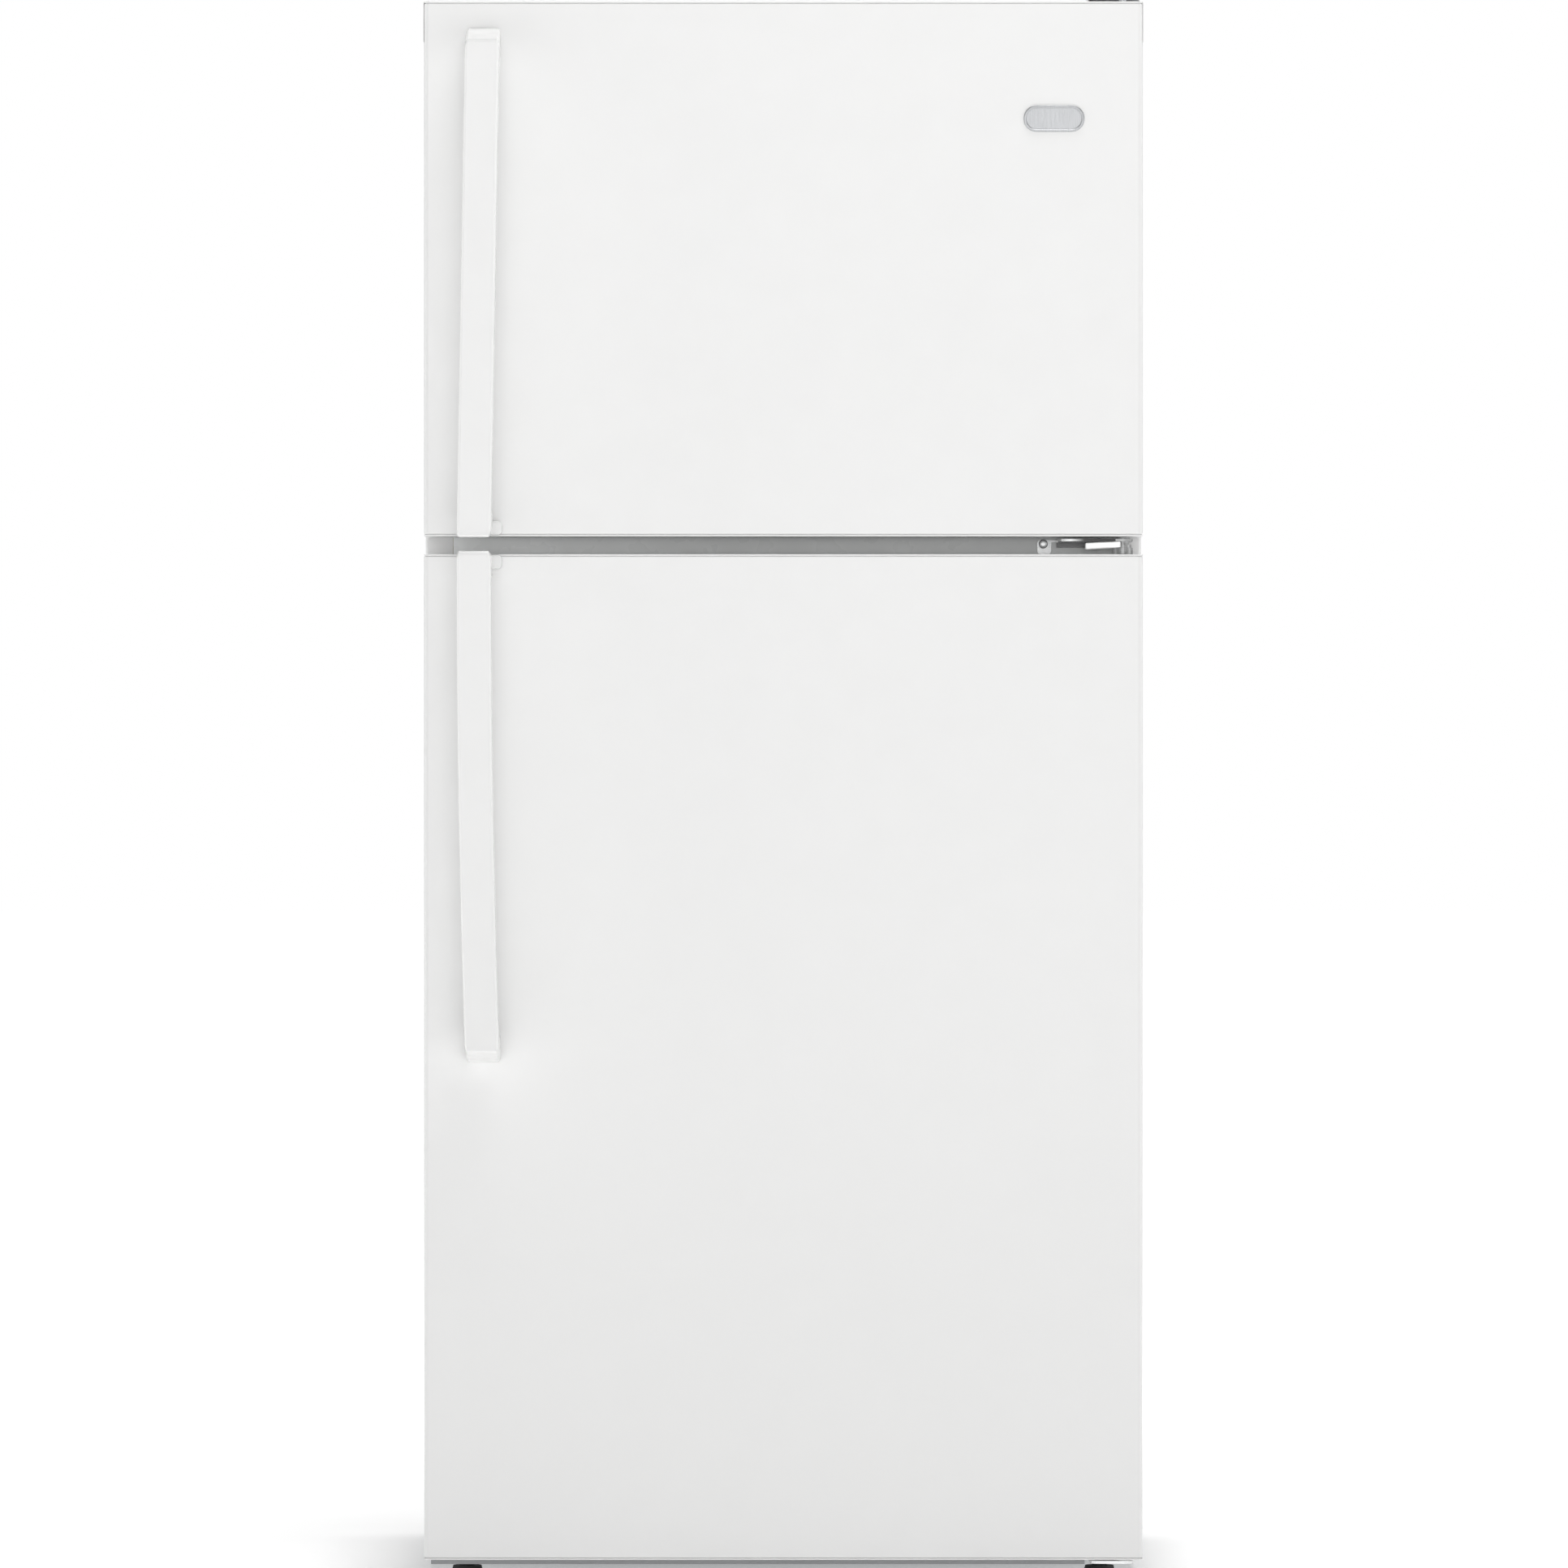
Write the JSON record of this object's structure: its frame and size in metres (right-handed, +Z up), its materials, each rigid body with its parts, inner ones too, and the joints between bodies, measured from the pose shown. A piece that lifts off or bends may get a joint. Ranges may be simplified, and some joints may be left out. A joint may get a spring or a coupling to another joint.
{
  "type": "top freezer refrigerator",
  "caption": "Tall white top freezer refrigerator with right-hinged doors, swept bar handles, glass shelves, sliding crispers, door bins and its cooling machinery.",
  "frame": {"origin": "on the floor, under the middle of the whole's bounding box", "axes": "+Z up, -Y out of the doors, +X towards the hinge side (the right, seen from the front)"},
  "size_m": [0.7558, 0.848, 1.68],
  "materials": {
    "white_enamel": "smooth white appliance enamel, semi-gloss, faint orange peel",
    "white_trim": "white moulded plastic, satin",
    "white_handle": "white moulded plastic, semi-gloss",
    "liner_plastic": "white vacuum-formed plastic, satin",
    "gasket_vinyl": "soft white vinyl, matt",
    "rail_grey": "mid grey paint, satin",
    "hinge_steel": "zinc-plated steel, satin",
    "clear_plastic": "clear moulded plastic, glossy",
    "shelf_glass": "clear tempered glass with ground edges",
    "shelf_wire": "white coated steel wire",
    "grey_plastic": "mid grey moulded plastic, matt",
    "dark_plastic": "black moulded plastic, matt",
    "lamp_lens": "frosted white plastic",
    "foam": "rigid polyurethane foam",
    "galvanised": "galvanised sheet steel with faint spangle",
    "black_enamel": "black paint, semi-gloss",
    "aluminium": "bare aluminium fins",
    "fibreboard": "dark pressed fibreboard",
    "black_rubber": "black rubber, matt",
    "badge_silver": "satin silver plaque"
  },
  "bodies": {
    "cabinet": {"back_panel": "galvanised", "base_frame": "galvanised", "base_grille": "grey_plastic", "bottom_hinge": "hinge_steel", "cabinet_foam": "foam", "centre_hinge": "hinge_steel", "centre_hinge_bolt": "galvanised", "centre_hinge_stop": "white_trim", "compressor": "black_enamel", "condenser_coil": "black_enamel", "condenser_fan_motor": "dark_plastic", "control_housing": "liner_plastic", "cord_gland": "black_rubber", "crisper_cover": "shelf_glass", "drain_pan": "dark_plastic", "evaporator_coil": "aluminium", "evaporator_cover": "liner_plastic", "evaporator_fan_motor": "dark_plastic", "freezer_liner": "liner_plastic", "freezer_shelf": "shelf_wire", "fridge_liner": "liner_plastic", "lamp_lens": "lamp_lens", "machine_cover": "fibreboard", "mullion_rail": "rail_grey", "outer_case": "white_enamel", "shelf_lower": "shelf_glass", "shelf_upper": "shelf_glass", "top_hinge": "hinge_steel", "top_hinge_cover": "white_trim"},
    "freezer_door": {"freezer_door_skin": "white_enamel", "freezer_door_foam": "foam", "freezer_door_liner": "liner_plastic", "freezer_gasket": "gasket_vinyl", "freezer_door_top_cap": "white_trim", "freezer_door_bottom_cap": "white_trim", "freezer_handle": "white_handle", "freezer_bin_upper": "clear_plastic", "freezer_bin_lower": "clear_plastic", "badge": "badge_silver"},
    "fridge_door": {"fridge_door_skin": "white_enamel", "fridge_door_foam": "foam", "fridge_door_liner": "liner_plastic", "fridge_gasket": "gasket_vinyl", "fridge_door_top_cap": "white_trim", "fridge_door_bottom_cap": "white_trim", "fridge_handle": "white_handle", "fridge_bin_middle": "clear_plastic", "fridge_bin_lower": "clear_plastic"},
    "dairy_lid": {"dairy_lid": "clear_plastic"},
    "crisper_left": {"crisper_left": "clear_plastic"},
    "crisper_right": {"crisper_right": "clear_plastic"},
    "evaporator_fan": {"evaporator_fan": "grey_plastic"},
    "condenser_fan": {"condenser_fan": "dark_plastic"},
    "fridge_control_knob": {"fridge_control_knob": "grey_plastic"},
    "freezer_control_knob": {"freezer_control_knob": "grey_plastic"},
    "door_switch": {"door_switch": "white_trim"},
    "levelling_leg_left": {"levelling_leg_left": "black_rubber"},
    "levelling_leg_right": {"levelling_leg_right": "black_rubber"},
    "roller_left": {"roller_left": "grey_plastic"},
    "roller_right": {"roller_right": "grey_plastic"}
  },
  "joints": [
    {"name": "freezer_door_hinge", "type": "hinge", "parent": "cabinet", "child": "freezer_door", "pos_m": [0.357, -0.327, 1.38], "axis": [0, 0, 1], "range_deg": [0, 130]},
    {"name": "fridge_door_hinge", "type": "hinge", "parent": "cabinet", "child": "fridge_door", "pos_m": [0.357, -0.327, 0.55], "axis": [0, 0, 1], "range_deg": [0, 130]},
    {"name": "dairy_lid_hinge", "type": "hinge", "parent": "fridge_door", "child": "dairy_lid", "pos_m": [0, -0.2035, 0.957], "axis": [1, 0, 0], "range_deg": [0, 90]},
    {"name": "crisper_left_slide", "type": "slide", "parent": "cabinet", "child": "crisper_left", "axis": [0, -1, 0], "range_m": [0, 0.026]},
    {"name": "crisper_right_slide", "type": "slide", "parent": "cabinet", "child": "crisper_right", "axis": [0, -1, 0], "range_m": [0, 0.026]},
    {"name": "evaporator_fan_spin", "type": "hinge", "parent": "cabinet", "child": "evaporator_fan", "pos_m": [0, 0.286, 1.5], "axis": [0, 1, 0], "continuous": true},
    {"name": "condenser_fan_spin", "type": "hinge", "parent": "cabinet", "child": "condenser_fan", "pos_m": [0.045, 0.3, 0.15], "axis": [1, 0, 0], "continuous": true},
    {"name": "fridge_knob_turn", "type": "hinge", "parent": "cabinet", "child": "fridge_control_knob", "pos_m": [-0.08, -0.195, 1.016], "axis": [0, 1, 0], "range_deg": [0, 270]},
    {"name": "freezer_knob_turn", "type": "hinge", "parent": "cabinet", "child": "freezer_control_knob", "pos_m": [0.08, -0.195, 1.016], "axis": [0, 1, 0], "range_deg": [0, 270]},
    {"name": "door_switch_press", "type": "slide", "parent": "cabinet", "child": "door_switch", "axis": [0, 1, 0], "range_m": [0, 0.004], "stiffness_N_per_m": 150},
    {"name": "levelling_leg_left_turn", "type": "hinge", "parent": "cabinet", "child": "levelling_leg_left", "pos_m": [-0.335, -0.235, 0.03], "axis": [0, 0, 1], "continuous": true},
    {"name": "levelling_leg_right_turn", "type": "hinge", "parent": "cabinet", "child": "levelling_leg_right", "pos_m": [0.335, -0.235, 0.03], "axis": [0, 0, 1], "continuous": true},
    {"name": "roller_left_spin", "type": "hinge", "parent": "cabinet", "child": "roller_left", "pos_m": [-0.335, 0.345, 0.02], "axis": [1, 0, 0], "continuous": true},
    {"name": "roller_right_spin", "type": "hinge", "parent": "cabinet", "child": "roller_right", "pos_m": [0.335, 0.345, 0.02], "axis": [1, 0, 0], "continuous": true}
  ]
}
